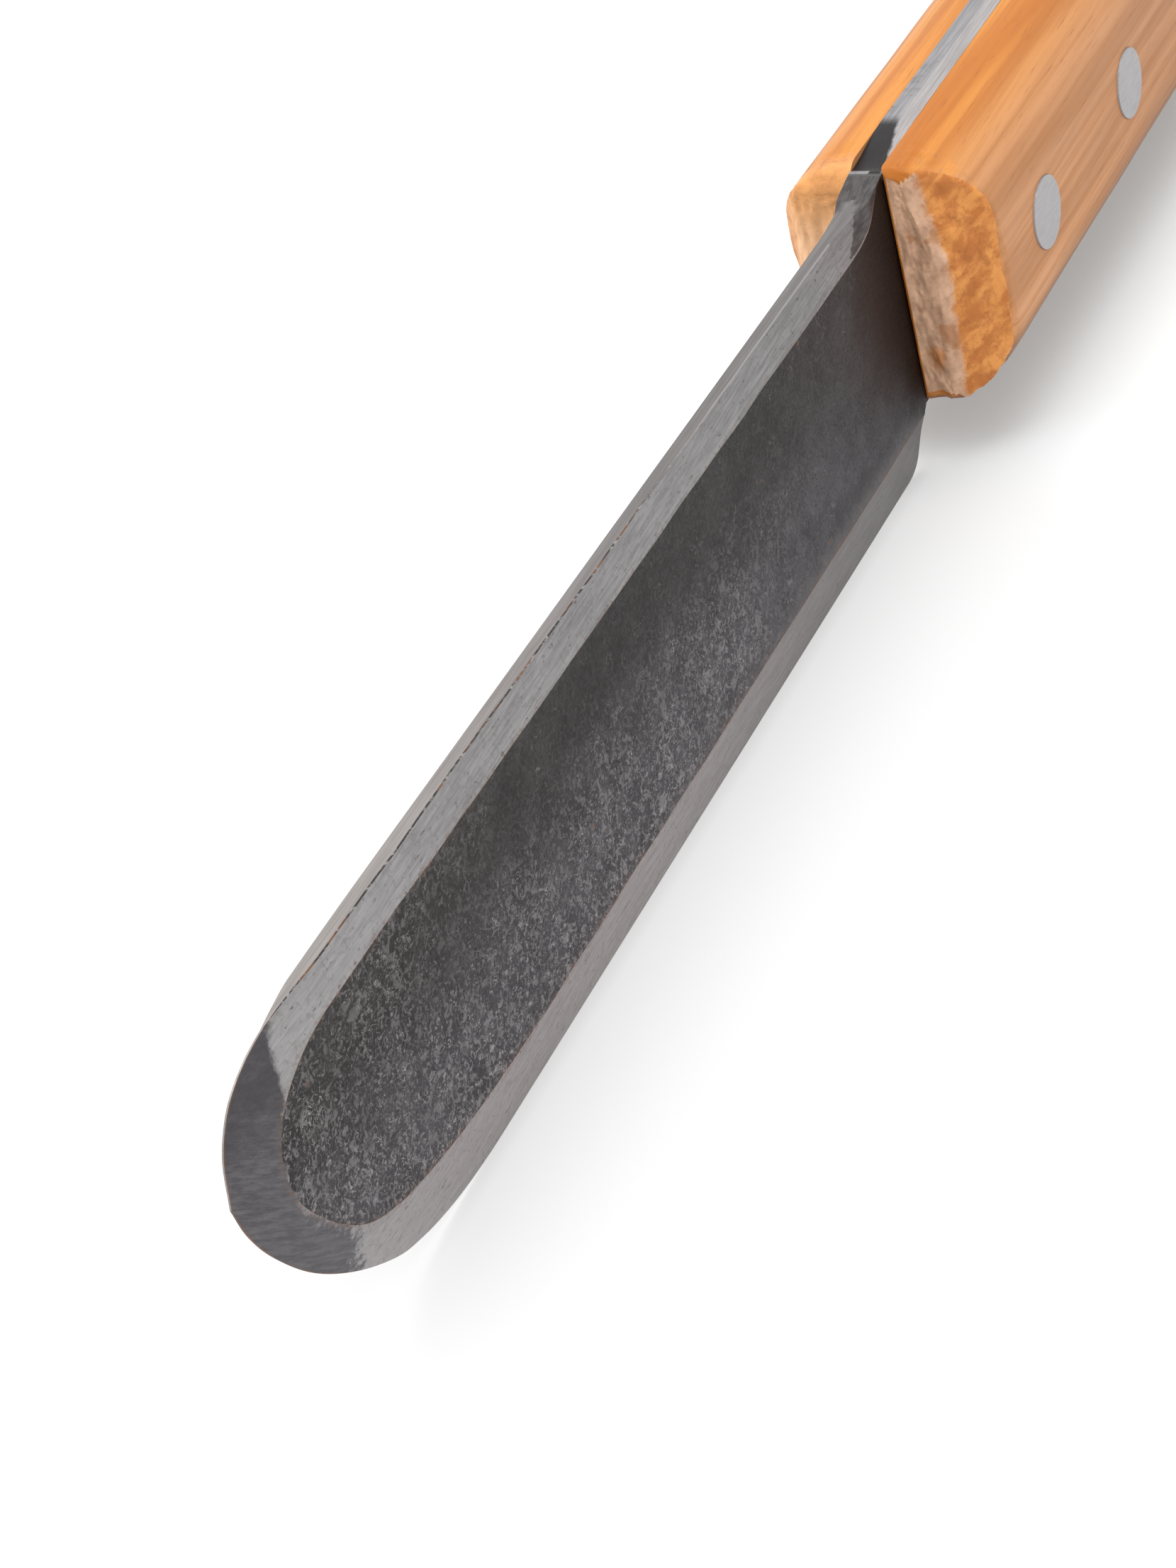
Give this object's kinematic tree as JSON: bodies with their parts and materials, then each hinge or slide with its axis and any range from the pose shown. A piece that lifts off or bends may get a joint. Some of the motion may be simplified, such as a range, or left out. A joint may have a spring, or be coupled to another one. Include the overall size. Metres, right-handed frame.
{
  "type": "whittling knife",
  "caption": "Fixed-blade wood carving knife with a round-nosed bevelled blade, full tang and pinned wooden handle scales.",
  "frame": {"origin": "centre of the overall box in X and Y, at the height of the cutting edge", "axes": "+X along the handle towards the butt, with the blade's nose at -X; +Z from the cutting edge up to the spine; +Y across the knife, from the left scale to the right scale"},
  "size_m": [0.216, 0.018, 0.0268],
  "materials": {
    "forged_steel": "dark forge scale on the flat sides, satin ground bevels",
    "handle_wood": "oiled, fine straight grain, satin",
    "pin_metal": "matte, sanded flush"
  },
  "bodies": {
    "root": {"blade": "forged_steel", "left_scale": "handle_wood", "right_scale": "handle_wood", "front_pin": "pin_metal", "middle_pin": "pin_metal", "rear_pin": "pin_metal"}
  },
  "joints": []
}
